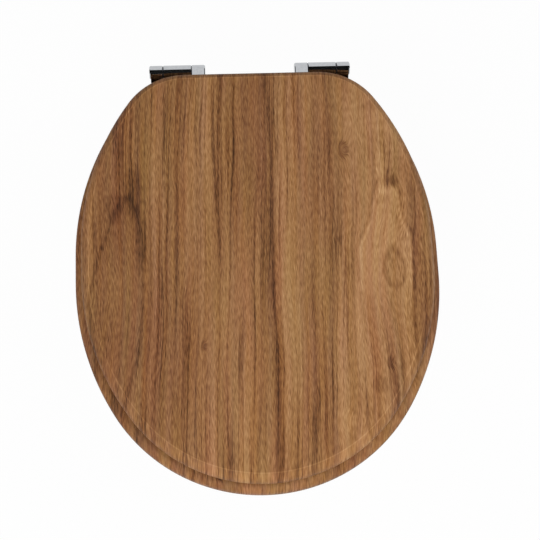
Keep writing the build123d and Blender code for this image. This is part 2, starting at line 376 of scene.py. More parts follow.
@dataclass(frozen=True)
class Figure:
    """A flame, knot or cloud in the grain, in millimetres.

    Attributes:
        x: Its middle across the board.
        y: Its middle along the board.
        half_width: How far it reaches across the grain.
        half_length: How far it reaches along the grain.
        push: How far it moves the grain lines to the left.
        tone: How much lighter it is inside, or darker below zero.
        rim: How much lighter its outline is, or darker below zero.
        soft: How softly its inside ends, as a share of its reach.
        calm: Share of the streaks that fades inside it.
        open_front: Whether it fades out towards the front, as a flame does.
        power: 2 for an oval, more for square shoulders, less for a pointed end.
        lean: How far its rear half leans to the right.
        neck: Width of its rear end, as a share of its width at the middle.
    """

    x: float
    y: float
    half_width: float
    half_length: float
    push: float = 0.0
    tone: float = 0.0
    rim: float = 0.0
    soft: float = 0.5
    calm: float = 0.0
    open_front: bool = False
    power: float = 2.0
    lean: float = 0.0
    neck: float = 1.0

    # Where the neck narrows and where an open front fades, as shares of the half length
    NECK_SPAN = (0.22, 0.65)
    FADE_SPAN = (-0.7, 0.0)

    def reach(self, shader: Shader, x: object, y: object) -> tuple[Socket, object]:
        """Distance from the figure's middle, as a share of the way to its outline.

        Args:
            shader: The material in the making.
            x: Place across the board.
            y: Place along the board.

        Returns:
            The distance, and how much of the figure shows there, from 0 to 1.
        """
        rearward = shader.math("SUBTRACT", y, self.y)
        leaned = shader.blend(shader.math("MAXIMUM", rearward, 0.0), -self.lean, x)
        across = shader.math("DIVIDE", shader.math("SUBTRACT", leaned, self.x), self.half_width)
        along = shader.math("DIVIDE", rearward, self.half_length)
        if self.neck != 1.0:
            narrowing = shader.blend(shader.step(along, *self.NECK_SPAN), self.neck - 1.0, 1.0)
            across = shader.math("DIVIDE", across, narrowing)
        shown = shader.step(along, *self.FADE_SPAN) if self.open_front else 1.0
        return shader.length(across, along, self.power), shown


@dataclass(frozen=True)
class Streak:
    """A line or band that follows the grain, in millimetres.

    Attributes:
        x: Its place across the grain, on the board's middle.
        half_width: How wide it is.
        tone: How much lighter it is, or darker below zero.
        y: Middle of the stretch where it shows.
        half_length: How far that stretch reaches.
        lean: How much more than the grain it drifts to the right on its way to the rear.
    """

    x: float
    half_width: float
    tone: float
    y: float = BOARD_MIDDLE
    half_length: float = 400.0
    lean: float = 0.0


@dataclass(frozen=True)
class WoodFoil:
    """Satin foil printed with a walnut grain that runs from front to rear.

    Attributes:
        name: The material's name.
        figures: Flames, knots and clouds of this board.
        streaks: Lines and bands of this board.
        lean: How far the grain drifts to the right on its way to the rear.
        shift: Where the print starts across the board, so that two boards differ.
        level: Lightness of the print, from 0 to 1.
        contrast: Strength of the streaks.
        highlight_strength: How much lighter the foil is painted along the crease, a painted highlight.
        roughness: How dull its satin surface is.
        reflection: Strength of its mirror image.
    """

    name: str
    figures: tuple[Figure, ...]
    streaks: tuple[Streak, ...]
    lean: float = 0.042
    shift: float = 0.0
    level: float = 0.515
    contrast: float = 1.0
    highlight_strength: float = 0.13
    roughness: float = 0.62
    reflection: float = 0.22

    # Colours of the print, from its darkest to its lightest
    TONES = (
        (0.0, linear(58, 35, 20)),
        (0.25, linear(108, 69, 41)),
        (0.5, linear(144, 102, 64)),
        (0.75, linear(175, 132, 90)),
        (1.0, linear(206, 168, 126)),
    )

    # Soft streaks, short fibres, and how far streaks side by side are shifted against each other
    GRAINS = (
        Grain(32.0, 700.0, 0.44, 1.0, 7.0, 0.7),
        Grain(10.0, 320.0, 0.3, 1.0, 11.0, 0.7),
        Grain(2.2, 110.0, 0.17, 0.0, 17.0, 0.7),
    )
    FIBRES = (Grain(2.4, 8.0, 0.05, 1.0, 23.0, 0.7), Grain(0.65, 6.0, 0.5, 0.0, 29.0, 0.7))
    STAGGER = 0.4

    # Slow bends of the grain lines, and the small wobble that keeps outlines from being plain ovals
    BENDS = Grain(60.0, 190.0, 12.0, 2.0, 3.0, 0.5)
    WOBBLE = Grain(12.0, 30.0, 1.0, 3.0, 5.0)
    LINE_WOBBLE = 0.5
    OUTLINE_WOBBLE = 0.3

    # Changes of hue and of saturation, gaps in the lines, and the lightening towards the right
    WARMTH = Grain(14.0, 190.0, 0.03, 1.0, 31.0)
    GREYNESS = Grain(8.0, 240.0, 0.2, 2.0, 37.0)
    GAPS = Grain(5.0, 38.0, 1.7, 2.0, 41.0)
    RIGHTWARD = 0.00045

    # Width of a figure's outline, and the most that figures calm the streaks
    RIM_WIDTH = 1.8
    CALMEST = 0.7

    # Thin dark veins, and the places where they crowd together
    VEINS = Grain(7.0, 480.0, 1.0, 2.0, 53.0)
    VEIN_WIDTH = 0.035
    VEIN_TONE = -0.26
    CROWDS = Grain(30.0, 160.0, 1.0, 1.0, 59.0, 0.5)
    CROWD_SPAN = (-0.16, 0.16)

    # Pores: their noise, slant and edges, and what they do to colour, gloss and height
    PORES = Grain(0.6, 9.0, 1.0, 0.0, 1.0, 0.5)
    PORE_SLANT = 5.3
    PORE_SPAN = (0.03, 0.14)
    PORE_TONE = -0.12
    PORE_DULLNESS = 0.15
    PORE_RELIEF = 0.3
    PORE_DEPTH = 0.1 * MM

    def material(self) -> Material:
        """Build the material.

        Returns:
            The foil's material.
        """
        shader = Shader(self.name)
        x, y, _ = shader.place()
        flow, marks, calm = self.flow(shader, x, y)
        streaks = self.streaky(shader, flow, y)
        tone = shader.blend(streaks, shader.blend(calm, -self.contrast, self.contrast), marks)
        fibres = self.mottle(shader, flow, y, self.FIBRES)
        tone = shader.total(tone, fibres, shader.blend(x, self.RIGHTWARD, self.level))
        # Painted highlight: the foil is made lighter along the crease round the planed top
        crease_highlight = shader.add("Attribute", {}, attribute_name=CREASE_HIGHLIGHT).outputs["Fac"]
        tone = shader.blend(crease_highlight, self.highlight_strength, tone)
        slanted = shader.blend(flow, self.PORE_SLANT, y)
        pores = shader.step(shader.grain(flow, slanted, self.PORES), *self.PORE_SPAN)
        shade = shader.blend(pores, self.PORE_TONE, tone)
        tint = {
            "Hue": shader.grain(flow, y, self.WARMTH, 0.5),
            "Saturation": shader.grain(flow, y, self.GREYNESS, 1.0),
            "Color": shader.ramp(shade, self.TONES),
        }
        shader.set("Base Color", shader.add("HueSaturation", tint).outputs[0])
        shader.set("Roughness", shader.blend(pores, self.PORE_DULLNESS, self.roughness))
        shader.set("Specular IOR Level", self.reflection)
        shader.bump(shader.math("MULTIPLY", pores, -1.0), self.PORE_RELIEF, self.PORE_DEPTH)
        return shader.material

    def flow(self, shader: Shader, x: object, y: object) -> tuple[Socket, Socket, Socket]:
        """Coordinate across the grain, whose level lines are the grain lines.

        Args:
            shader: The material in the making.
            x: Place across the board.
            y: Place along the board.

        Returns:
            The coordinate in millimetres, the lightness that the figures add and how much they calm.
        """
        wobble = shader.grain(x, y, self.WOBBLE)
        along = shader.math("SUBTRACT", y, BOARD_MIDDLE)
        flow = [shader.blend(along, -self.lean, shader.math("ADD", x, self.shift))]
        flow.append(shader.grain(x, y, self.BENDS))
        flow.append(shader.math("MULTIPLY", wobble, self.LINE_WOBBLE))
        marks = [0.0]
        calm = [0.0]
        for figure in self.figures:
            reach, shown = figure.reach(shader, x, y)
            if figure.push:
                flow.append(shader.math("MULTIPLY", shader.hump(reach, 1.0), figure.push))
            reach = shader.blend(wobble, self.OUTLINE_WOBBLE, reach)
            if figure.tone:
                inside = shader.step(reach, 1.0 + figure.soft, 1.0 - figure.soft)
                inside = shader.math("MULTIPLY", inside, shown)
                marks.append(shader.math("MULTIPLY", inside, figure.tone))
                calm.append(shader.math("MULTIPLY", inside, figure.calm))
            if figure.rim:
                beside = shader.math("SUBTRACT", reach, 1.0)
                outline = shader.hump(beside, self.RIM_WIDTH / figure.half_width)
                outline = shader.math("MULTIPLY", outline, shown)
                marks.append(shader.math("MULTIPLY", outline, figure.rim))
        calmed = shader.math("MINIMUM", shader.total(*calm), self.CALMEST)
        return shader.total(*flow), shader.total(*marks), calmed

    def streaky(self, shader: Shader, flow: object, y: object) -> Socket:
        """Streaks, lines and veins along the grain.

        Args:
            shader: The material in the making.
            flow: Coordinate across the grain.
            y: Place along the board.

        Returns:
            How much they lighten, or darken below zero.
        """
        lines = [self.veins(shader, flow, y)]
        along = shader.math("SUBTRACT", y, BOARD_MIDDLE)
        for streak in self.streaks:
            path = shader.blend(along, -streak.lean, flow)
            line = shader.hump(shader.math("SUBTRACT", path, streak.x + self.shift), streak.half_width)
            stretch = shader.hump(shader.math("SUBTRACT", y, streak.y), streak.half_length)
            lines.append(shader.math("MULTIPLY", shader.math("MULTIPLY", line, stretch), streak.tone))
        broken = shader.math("MULTIPLY", shader.total(*lines), shader.grain(flow, y, self.GAPS, 1.0))
        return shader.math("ADD", broken, self.mottle(shader, flow, y, self.GRAINS))

    def mottle(self, shader: Shader, flow: object, y: object, grains: tuple[Grain, ...]) -> Socket:
        """Soft streaks of several sizes.

        Args:
            shader: The material in the making.
            flow: Coordinate across the grain.
            y: Place along the board.
            grains: The sizes.

        Returns:
            How much they lighten, or darken below zero.
        """
        parts = []
        for grain in grains:
            staggered = shader.blend(flow, self.STAGGER * grain.along / grain.across, y)
            parts.append(shader.grain(flow, staggered, grain))
        return shader.total(*parts)

    def veins(self, shader: Shader, flow: object, y: object) -> Socket:
        """Long thin dark lines along the grain, closer together in some places.

        Args:
            shader: The material in the making.
            flow: Coordinate across the grain.
            y: Place along the board.

        Returns:
            How much they darken, below zero.
        """
        crossing = shader.hump(shader.grain(flow, y, self.VEINS), self.VEIN_WIDTH)
        crowd = shader.step(shader.grain(flow, y, self.CROWDS), *self.CROWD_SPAN)
        return shader.math("MULTIPLY", shader.math("MULTIPLY", crossing, crowd), self.VEIN_TONE)


@dataclass(frozen=True)
class Metal:
    """Bright metal, plated or bare.

    Attributes:
        name: The material's name.
        colour: Its reflected colour.
        roughness: How much it blurs reflections.
        brushing: How much its roughness varies from place to place.
        grain: Size of its cloudy places, in millimetres.
        dullness: Brightness of its dullest places against the rest.
    """

    name: str
    colour: Colour
    roughness: float
    brushing: float
    grain: float = 3.0
    dullness: float = 0.9

    # Heights of the cloud, from 0 to 1, at which the metal is dullest and brightest
    CLOUD_SPAN = (0.3, 0.6)

    def material(self) -> Material:
        """Build the material.

        Returns:
            The metal's material.
        """
        shader = Shader(self.name)
        cloud = shader.cloud(self.grain, detail=3.0, roughness=0.6)
        dull = tuple(self.dullness * channel for channel in self.colour[:3]) + (1.0,)
        stops = tuple(zip(self.CLOUD_SPAN, (dull, self.colour)))
        shader.set("Base Color", shader.ramp(shader.math("ADD", cloud, 0.5), stops))
        shader.set("Metallic", 1.0)
        shader.set("Roughness", shader.blend(cloud, self.brushing, self.roughness))
        return shader.material


@dataclass(frozen=True)
class Moulding:
    """Rubber or plastic, with a faint cloud in its colour and a fine moulded texture.

    Attributes:
        name: The material's name.
        dark: Its darker colour.
        light: Its lighter colour.
        roughness: How dull it is.
        unevenness: How much its dullness varies with its texture.
        cloud: Size of its cloudy places, in millimetres.
        grit: Size of its texture, in millimetres.
        relief: How much of the texture's height shows.
        height: Height of the texture.
    """

    name: str
    dark: Colour
    light: Colour
    roughness: float
    unevenness: float = 0.1
    cloud: float = 4.0
    grit: float = 0.4
    relief: float = 0.15
    height: float = 0.05 * MM

    # Heights of the cloud, from 0 to 1, at which the colour is darkest and lightest
    CLOUD_SPAN = (0.3, 0.7)

    def material(self) -> Material:
        """Build the material.

        Returns:
            The moulding's material.
        """
        shader = Shader(self.name)
        cloud = shader.cloud(self.cloud, detail=3.0, roughness=0.6)
        grit = shader.cloud(self.grit, detail=1.0, roughness=0.5)
        stops = tuple(zip(self.CLOUD_SPAN, (self.dark, self.light)))
        shader.set("Base Color", shader.ramp(shader.math("ADD", cloud, 0.5), stops))
        shader.set("Roughness", shader.blend(grit, self.unevenness, self.roughness))
        shader.bump(grit, self.relief, self.height)
        return shader.material


LID_FIGURES = (
    # Flame on the right, with its dark outline, inner line, spike, notch and eye
    Figure(
        129.5, -230, 26, 83, push=10, tone=0.1, rim=0.12, soft=0.06, calm=0.65,
        open_front=True, power=4.0, lean=0.08, neck=0.62,
    ),
    Figure(129.5, -230, 29.5, 89, rim=-0.1, open_front=True, power=4.0, lean=0.08, neck=0.62),
    Figure(131, -205, 14, 48, tone=0.03, rim=-0.05, soft=0.2, open_front=True),
    Figure(
        129.5, -134, 3.4, 33, push=-2, tone=0.15, rim=0.06, soft=0.3, calm=0.5,
        open_front=True, power=1.5,
    ),
    Figure(140, -136, 6, 9, push=2, tone=-0.15),
    Figure(138, -233, 10.5, 20, tone=-0.07, rim=-0.16, soft=0.2),
    Figure(138, -217, 5, 8, rim=-0.08),
    # Pale patch and dark band behind it, and what lies beside it
    Figure(129, -70, 33, 62, tone=0.08, soft=0.1, calm=0.5, open_front=True, power=4.0, lean=0.12),
    Figure(128, -53, 13, 6, tone=-0.08, soft=0.6),
    Figure(153, -166, 7, 40, push=-3, tone=0.05, rim=-0.06, soft=0.3),
    Figure(93, -102, 4.5, 8, push=9, tone=-0.15, rim=-0.12),
    # Dark marks and pale flecks on the right, in front
    Figure(128, -331, 4, 7, push=3, tone=-0.1),
    Figure(116, -353, 7, 8, push=2, tone=-0.15, soft=0.35),
    Figure(102, -385, 3, 20, tone=-0.12, soft=0.6),
    Figure(80.5, -388, 8, 12, push=3, tone=0.1, rim=-0.04, soft=0.2, calm=0.5),
    Figure(96, -408, 8, 12, push=2, tone=0.06, rim=-0.04, soft=0.3, calm=0.5),
    # Flame on the left, with its pale middle and the dark places behind it, and a small knot
    Figure(
        -145, -260, 27, 112, push=-6, tone=-0.06, rim=-0.14, soft=0.05, calm=0.6,
        power=1.6, lean=0.12,
    ),
    Figure(-152, -245, 18, 26, tone=0.06, soft=0.8),
    Figure(-125.5, -143, 7.5, 30, push=-3, tone=-0.2),
    Figure(-119.5, -197, 5, 28, tone=-0.12, soft=0.6),
    Figure(-146, -160, 8, 15, tone=-0.11, soft=0.6),
    Figure(-58, -308, 3, 5, push=4, tone=-0.2),
)
LID_STREAKS = (
    Streak(15, 2.3, -0.25, y=-220, half_length=330, lean=-0.03),
    Streak(11, 4.0, -0.08, y=-260, half_length=170, lean=-0.03),
    Streak(-6, 10, -0.09, y=-110, half_length=140),
    Streak(-31, 1.1, -0.26, y=-150, half_length=160, lean=0.02),
    Streak(-60, 7, 0.07, y=-100, half_length=110),
    Streak(-83, 1.5, -0.15, y=-205, half_length=90),
    Streak(-102, 1.6, -0.30, y=-270, half_length=140),
    Streak(-93, 3, -0.07, y=-230, half_length=150),
    Streak(34, 12, 0.05),
    Streak(56, 3.4, -0.13, y=-230, half_length=260),
    Streak(72, 2, -0.09, y=-120, half_length=140),
    Streak(88, 12, 0.05),
    Streak(76, 18, -0.06, y=-90, half_length=110),
    Streak(-72, 16, 0.04, y=-60, half_length=100),
    Streak(-108, 8, 0.05, y=-120, half_length=120),
    Streak(161, 1.2, -0.2, y=-230, half_length=120),
    Streak(170, 1.0, -0.16, y=-250, half_length=120),
    Streak(167, 8, -0.05, y=-250, half_length=130),
)
RING_FIGURES = (
    Figure(-47, -434, 3, 5, push=5, tone=-0.22, soft=0.6),
    Figure(-152, -190, 20, 80, push=-14, tone=0.07, rim=-0.09, soft=0.3),
    Figure(150, -300, 12, 45, push=10, tone=0.06, rim=-0.08, soft=0.3),
    Figure(40, -60, 6, 10, push=9, tone=-0.08, rim=-0.07),
)
RING_STREAKS = (
    Streak(-120, 1.4, -0.2),
    Streak(-84, 2.0, -0.14),
    Streak(-20, 7, -0.08),
    Streak(4, 1.2, -0.2),
    Streak(38, 9, 0.06),
    Streak(66, 2.2, -0.13),
    Streak(124, 1.6, -0.17),
    # Wide light band on the ring's right edge: painted light that lifts the shade the lid casts there
    Streak(172, 16, 0.12),
)


class Finishes:
    """One material for each slot of the record, and one more for the ring's own print."""

    LID_WOOD = WoodFoil("walnut_foil_lid", LID_FIGURES, LID_STREAKS)
    RING_WOOD = WoodFoil(
        "walnut_foil_ring", RING_FIGURES, RING_STREAKS, shift=310.0, level=0.445, contrast=0.7
    )
    OTHERS = {
        Slot.CHROME: Metal("chrome_plate", linear(190, 192, 195), roughness=0.04, brushing=0.03),
        Slot.STEEL: Metal("zinc_plate", linear(196, 199, 203), roughness=0.24, brushing=0.12),
        Slot.BUFFER: Moulding("pale_rubber", linear(206, 202, 190), linear(222, 219, 208), roughness=0.55),
        Slot.RUBBER: Moulding("dark_rubber", linear(26, 26, 27), linear(38, 38, 39), roughness=0.62),
        Slot.NYLON: Moulding("white_nylon", linear(226, 226, 220), linear(238, 238, 233), roughness=0.42),
        Slot.DAMPER: Moulding("dark_moulding", linear(40, 40, 43), linear(52, 52, 55), roughness=0.45),
    }

    def __init__(self) -> None:
        """Build every material."""
        self.ring_wood = self.RING_WOOD.material()
        self.by_slot = {Slot.WOOD: self.LID_WOOD.material()}
        for slot, finish in self.OTHERS.items():
            self.by_slot[slot] = finish.material()


def new_object(name: str, shape: Mesh, material: Material) -> bpy.types.Object:
    """Turn a finished shape into an object of the scene.

    Args:
        name: The object's name.
        shape: Its mesh, in the frame's coordinates. It is freed here.
        material: Its finish.

    Returns:
        The new object.
    """
    mesh = bpy.data.meshes.new(name)
    shape.to_mesh(mesh)
    shape.free()
    mesh.materials.append(material)
    made = bpy.data.objects.new(name, mesh)
    bpy.context.scene.collection.objects.link(made)
    return made


def new_piece(name: str, shape: Mesh, material: Material, body: Body) -> bpy.types.Object:
    """Turn a finished shape into a piece of the seat.

    Args:
        name: The piece's name.
        shape: Its mesh, in the frame's coordinates. It is freed here.
        material: Its finish.
        body: The body that it moves with.

    Returns:
        The new object.
    """
    piece = new_object(name, shape, material)
    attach(piece, body.value)
    LOG.info("%s: %d faces on %s", name, len(piece.data.polygons), body.value)
    return piece


def everything(shape: Mesh) -> list:
    """All vertices, edges and faces of a mesh."""
    return shape.verts[:] + shape.edges[:] + shape.faces[:]


def picked(items: list, kind: type) -> list:
    """Those items that are of one kind, such as BMVert."""
    return [item for item in items if isinstance(item, kind)]


def spin(
    shape: Mesh,
    geom: list,
    centre: Place,
    axis: Place,
    degrees: float,
    steps: int,
    rise: float = 0.0,
    merge: bool = False,
) -> list:
    """Turn a line round an axis.

    Args:
        shape: The mesh.
        geom: The vertices and edges to turn.
        centre: A point of the axis.
        axis: Direction of the axis.
        degrees: How far they turn, anticlockwise.
        steps: Steps of the turn.
        rise: How far each step goes up.
        merge: Whether the end of a full turn joins its start.

    Returns:
        What stands at the end of the turn.
    """
    return bmesh.ops.spin(
        shape,
        geom=geom,
        cent=centre,
        axis=axis,
        dvec=(0, 0, rise),
        angle=math.radians(degrees),
        steps=steps,
        use_merge=merge,
        use_duplicate=False,
    )["geom_last"]


def grow(shape: Mesh, faces: list[BMFace], height: float, scale: float = 1.0, keep: bool = False) -> None:
    """Extrude faces along the Z axis and scale their far end about it.

    Args:
        shape: The mesh.
        faces: Its faces to extrude.
        height: How far they go up.
        scale: Size of the far end against the near end.
        keep: Whether the near end stays as a face.
    """
    edges = [] if keep else {edge for face in faces for edge in face.edges}
    grown = bmesh.ops.extrude_face_region(shape, geom=[*faces, *edges], use_keep_orig=keep)
    corners = picked(grown["geom"], BMVert)
    bmesh.ops.translate(shape, verts=corners, vec=(0, 0, height))
    bmesh.ops.scale(shape, verts=corners, vec=(scale, scale, 1))


def cut_off(shape: Mesh, level: float, outwards: int, slack: float) -> None:
    """Cut a mesh level, drop what lies beyond the cut and close it again.

    Args:
        shape: The mesh.
        level: Height of the cut.
        outwards: 1 to drop what is above it, -1 to drop what is below.
        slack: Distance within which a point counts as on the cut.
    """
    cut = bmesh.ops.bisect_plane(
        shape,
        geom=everything(shape),
        dist=slack,
        plane_co=(0, 0, level),
        plane_no=(0, 0, outwards),
        clear_outer=True,
    )
    bmesh.ops.contextual_create(shape, geom=picked(cut["geom_cut"], BMEdge))


def stand_at(shape: Mesh, places: list[Point]) -> None:
    """Repeat what stands on the Z axis.

    Args:
        shape: The mesh.
        places: Where each copy stands, in plan.
    """
    single = everything(shape)
    for place in places[1:]:
        twin = bmesh.ops.duplicate(shape, geom=single)["geom"]
        bmesh.ops.translate(shape, verts=picked(twin, BMVert), vec=(*place, 0))
    bmesh.ops.translate(shape, verts=picked(single, BMVert), vec=(*places[0], 0))


def shade_softly(shape: Mesh) -> None:
    """Shade a mesh smooth, apart from its sharp edges.

    Args:
        shape: The mesh.
    """
    for face in shape.faces:
        face.smooth = True
    for edge in shape.edges:
        edge.smooth = edge.calc_face_angle(0.0) < SHARP_ANGLE


class Chain:
    """A line of edges drawn by spinning and moving one vertex in the plan."""

    def __init__(self, shape: Mesh, start: Point, level: float) -> None:
        """Start the line.

        Args:
            shape: The mesh that it is drawn in.
            start: Where it starts, in plan.
            level: Its height.
        """
        self.shape = shape
        self.level = level
        self.first = shape.verts.new((*start, level))
        self.last = self.first

    def arc(self, centre: Point, degrees: float, pitch: float = 1.6) -> None:
        """Turn the end of the line round a centre.

        Args:
            centre: Centre of the arc.
            degrees: How far it turns, anticlockwise.
            pitch: Largest turn of one edge.
        """
        steps = max(1, math.ceil(abs(degrees) / pitch))
        end = spin(self.shape, [self.last], (*centre, self.level), (0, 0, 1), degrees, steps)
        self.last = picked(end, BMVert)[0]

    def line(self, end: Point) -> None:
        """Run the line straight to a point.

        Args:
            end: The point, in plan.
        """
        grown = bmesh.ops.extrude_vert_indiv(self.shape, verts=[self.last])
        self.last = grown["verts"][0]
        self.last.co = (*end, self.level)

    def join(self, other: "Chain") -> None:
        """Join the ends of this line and another with straight edges."""
        for mine, theirs in ((self.first, other.first), (self.last, other.last)):
            self.shape.edges.new((mine, theirs))


def half_oval(half_width: float, length: float, turn: float) -> tuple[float, float]:
    """Radii of the flank and nose arcs of a half oval.

    Args:
        half_width: Half of its width.
        length: From its widest line to its end.
        turn: Where the flank arc hands over to the nose arc, in degrees.

    Returns:
        Flank radius and nose radius.
    """
    across = math.cos(math.radians(turn))
    along = math.sin(math.radians(turn))
    spare = across + along - 1
    flank = (length * across - half_width * (1 - along)) / spare
    nose = (half_width * along - length * (1 - across)) / spare
    return flank, nose


@dataclass
class Board:
    """Oval board of the seat, as in the CAD part.

    Attributes:
        node: Its CAD node.
        body: The body that it belongs to.
        belly: From the hinge axis to its widest line.
        nose_turn: Where the flank arc hands over to the nose arc, in degrees.
        top_round: Radius of its top edge.
        flank_straight: Straight run behind the widest line.
        shoulder_radius: Radius of the curve that closes in to the rear.
        corner_round: Radius of the rear corners.
        under_round: Easing of its lower edge.
        planing: How much is planed off the top after rounding, which leaves a faint crease.
        round_steps: Facets across the rounded top edge.
        under_steps: Facets across the eased lower edge.
        highlight_width: How far the painted highlight along the crease reaches on to the top.
    """

    node: str
    body: Body
    belly: float
    nose_turn: float
    top_round: float
    flank_straight: float = 30 * MM
    shoulder_radius: float = 274 * MM
    corner_round: float = 73 * MM
    under_round: float = 2 * MM
    planing: float = 0.0
    round_steps: int = 12
    under_steps: int = 3
    highlight_width: float = 0.9 * MM

    # How far from a level an edge still counts as on it, and the least angle of an edge to round
    LEVEL_SLACK = 0.01 * MM
    ROUNDED_ANGLE = 1.0

    def __post_init__(self) -> None:
        """Read the outer sizes off the CAD node."""
        low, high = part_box(self.node)
        self.half_width = high.x
        self.reach = -low.y
        self.setback = -high.y
        self.bottom = low.z
        self.top = high.z

    def outline(self, shape: Mesh) -> Chain:
        """Draw the right-hand half of the outline, from the front to the rear.

        Args:
            shape: The mesh to draw in.

        Returns:
            The line of edges.
        """
        flank, nose = half_oval(self.half_width, self.reach - self.belly, self.nose_turn)
        shoulder_x = self.half_width - self.shoulder_radius
        shoulder_y = self.flank_straight - self.belly
        corner_y = -self.setback - self.corner_round
        reach = self.shoulder_radius - self.corner_round
        corner_x = shoulder_x + math.sqrt(reach**2 - (corner_y - shoulder_y) ** 2)
        shoulder_turn = math.degrees(math.atan2(corner_y - shoulder_y, corner_x - shoulder_x))
        chain = Chain(shape, (0, -self.reach), self.bottom)
        chain.arc((0, nose - self.reach), 90 - self.nose_turn)
        chain.arc((self.half_width - flank, -self.belly), self.nose_turn)
        chain.line((self.half_width, shoulder_y))
        chain.arc((shoulder_x, shoulder_y), shoulder_turn)
        chain.arc((corner_x, corner_y), 90 - shoulder_turn)
        chain.line((0, -self.setback))
        return chain

    def inner_line(self, shape: Mesh) -> Chain:
        """Draw the line on the board's middle that closes the right-hand half.

        Args:
            shape: The mesh to draw in.

        Returns:
            The line of edges.
        """
        middle = Chain(shape, (0, -self.reach + self.top_round * 2), self.bottom)
        middle.line((0, -self.setback - self.top_round * 2))
        return middle

    def edges_at(self, shape: Mesh, level: float) -> list[BMEdge]:
        """Edges of the walls at one height.

        Args:
            shape: The board's mesh.
            level: The height.

        Returns:
            The edges where a wall meets the top or the underside.
        """
        found = []
        for edge in shape.edges:
            flat = all(abs(corner.co.z - level) < self.LEVEL_SLACK for corner in edge.verts)
            if flat and edge.calc_face_angle(0.0) > self.ROUNDED_ANGLE:
                found.append(edge)
        return found

    def round_edges(self, shape: Mesh) -> None:
        """Round the board over on top and ease it underneath.

        Args:
            shape: The board's mesh.
        """
        upper = self.edges_at(shape, self.top + self.planing)
        self.bevel(shape, upper, self.top_round, self.round_steps)
        self.bevel(shape, self.edges_at(shape, self.bottom), self.under_round, self.under_steps)
        if self.planing:
            cut_off(shape, self.top, 1, WELD)
            # Painted highlight along the crease round the planed top
            self.paint_crease_highlight(shape)

    def paint_crease_highlight(self, shape: Mesh) -> None:
        """Mark the crease round the planed top, where a highlight is painted into the foil's colour.

        Args:
            shape: The board's mesh.
        """
        shape.normal_update()
        crease_highlight = shape.verts.layers.float.new(CREASE_HIGHLIGHT)
        top = [face for face in shape.faces if face.normal.z > LEVEL_NORMAL]
        for corner in {vert for face in top for vert in face.verts}:
            corner[crease_highlight] = 1.0
        bmesh.ops.inset_region(shape, faces=top, thickness=self.highlight_width, use_even_offset=True)
        for corner in {vert for face in top for vert in face.verts}:
            corner[crease_highlight] = 0.0

    @staticmethod
    def bevel(shape: Mesh, edges: list[BMEdge], radius: float, steps: int) -> None:
        """Round some edges.

        Args:
            shape: The mesh.
            edges: Its edges to round.
            radius: How far the round reaches.
            steps: Facets across it.
        """
        bmesh.ops.bevel(
            shape,
            geom=edges,
            offset=radius,
            offset_type="OFFSET",
            affect="EDGES",
            segments=steps,
            profile=0.5,
            material=-1,
            clamp_overlap=False,
        )

    def build(self, material: Material) -> None:
        """Model the board in place of its CAD node.

        Args:
            material: Its finish.
        """
        shape = bmesh.new()
        self.outline(shape).join(self.inner_line(shape))
        bmesh.ops.contextual_create(shape, geom=shape.edges[:])
        bmesh.ops.mirror(shape, geom=everything(shape), axis="X", merge_dist=WELD)
        grow(shape, shape.faces[:], self.top - self.bottom + self.planing, keep=True)
        bmesh.ops.remove_doubles(shape, verts=shape.verts[:], dist=WELD)
        bmesh.ops.recalc_face_normals(shape, faces=shape.faces[:])
        self.round_edges(shape)
        for face in shape.faces:
            face.smooth = abs(face.normal.z) < LEVEL_NORMAL
        piece = new_piece(self.node + "_board", shape, material, self.body)
        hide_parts(self.node)


@dataclass
class RingBoard(Board):
    """Ring board with its opening.

    Attributes:
        side_rim: Width of the rim at the sides.
        front_rim: Width of the rim at the front.
        rear_rim: Width of the rim at the rear.
        opening_turn: Where the opening's flank arcs hand over to its end arcs, in degrees.
        opening_round: Radius of the opening's top edge.
    """

    side_rim: float = 74 * MM
    front_rim: float = 76 * MM
    rear_rim: float = 92 * MM
    opening_turn: float = 45.0
    opening_round: float = 8 * MM

    def inner_line(self, shape: Mesh) -> Chain:
        """Draw the right-hand half of the opening, from the front to the rear.

        Args:
            shape: The mesh to draw in.

        Returns:
            The line of edges.
        """
        half_width = self.half_width - self.side_rim
        front_length = self.reach - self.front_rim - self.belly
        rear_length = self.belly - self.setback - self.rear_rim
        front_flank, nose = half_oval(half_width, front_length, self.opening_turn)
        rear_flank, tail = half_oval(half_width, rear_length, self.opening_turn)
        line = Chain(shape, (0, -self.belly - front_length), self.bottom)
        line.arc((0, nose - front_length - self.belly), 90 - self.opening_turn)
        line.arc((half_width - front_flank, -self.belly), self.opening_turn)
        line.arc((half_width - rear_flank, -self.belly), self.opening_turn)
        line.arc((0, rear_length - tail - self.belly), 90 - self.opening_turn)
        return line

    def in_the_opening(self, edge: BMEdge) -> bool:
        """Tell an edge of the opening from one of the outline.

        Args:
            edge: The edge.

        Returns:
            Whether it lies inside the rim's middle line.
        """
        middle = (edge.verts[0].co + edge.verts[1].co) / 2
        across = middle.x / (self.half_width - self.side_rim / 2)
        length = self.reach - self.belly - self.front_rim / 2
        if middle.y > -self.belly:
            length = self.belly - self.setback - self.rear_rim / 2
        return math.hypot(across, (middle.y + self.belly) / length) < 1

    def round_edges(self, shape: Mesh) -> None:
        """Round the outline and the opening on top and ease both underneath.

        Args:
            shape: The board's mesh.
        """
        for inside, radius in ((False, self.top_round), (True, self.opening_round)):
            edges = self.edges_at(shape, self.top)
            edges = [edge for edge in edges if self.in_the_opening(edge) is inside]
            self.bevel(shape, edges, radius, self.round_steps)
        self.bevel(shape, self.edges_at(shape, self.bottom), self.under_round, self.under_steps)


